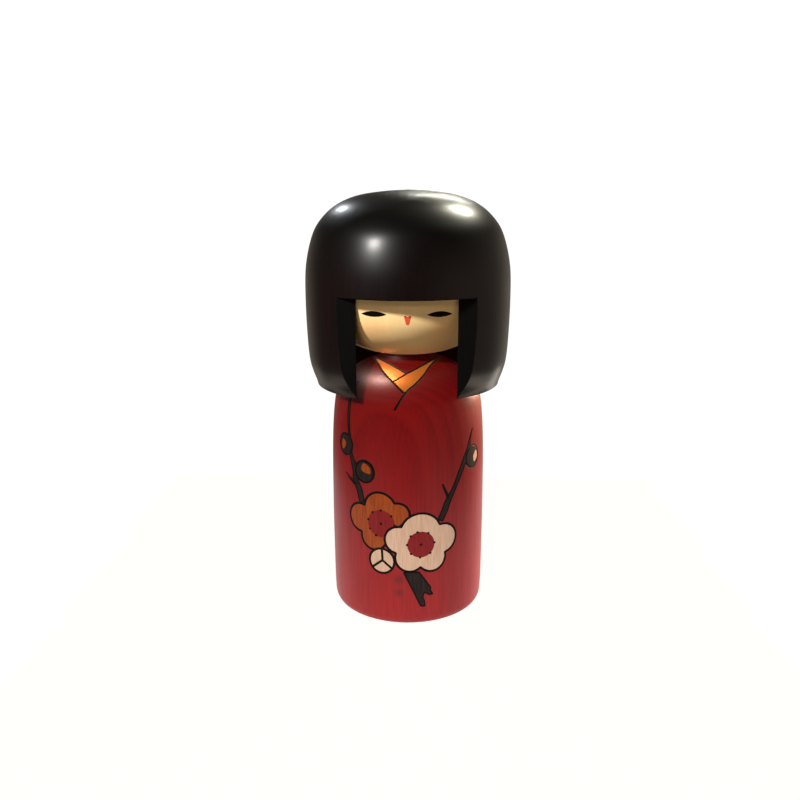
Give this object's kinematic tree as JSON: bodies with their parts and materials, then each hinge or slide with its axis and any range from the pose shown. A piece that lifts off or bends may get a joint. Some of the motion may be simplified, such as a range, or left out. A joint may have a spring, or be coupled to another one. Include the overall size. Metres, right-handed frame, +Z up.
{
  "type": "kokeshi doll",
  "caption": "Turned wooden doll with a tapered painted body, a pale barrel head set in a hollow lacquered bell of hair, and a head that turns on a peg.",
  "frame": {"origin": "centre of the flat base, on the surface that the doll stands on", "axes": "+Z up through the crown, -Y forwards, the way the face looks with the head straight, +X to the doll's left, the viewer's right"},
  "size_m": [0.0744, 0.0744, 0.155],
  "materials": {
    "dyed_wood": "satin translucent red dye over wood grain, with burnt black lines and painted blossoms",
    "pale_wood": "smooth waxed pale wood, face painted",
    "black_lacquer": "glossy black lacquer on turned wood, matte black where it is cut",
    "bare_wood": "unfinished dowel wood"
  },
  "bodies": {
    "lower": {"body": "dyed_wood"},
    "upper": {"head": "pale_wood", "hair": "black_lacquer", "neck_peg": "bare_wood"}
  },
  "joints": [
    {"name": "head_swivel", "type": "hinge", "parent": "lower", "child": "upper", "pos_m": [0, 0, 0.097], "axis": [0, 0, 1], "continuous": true}
  ]
}
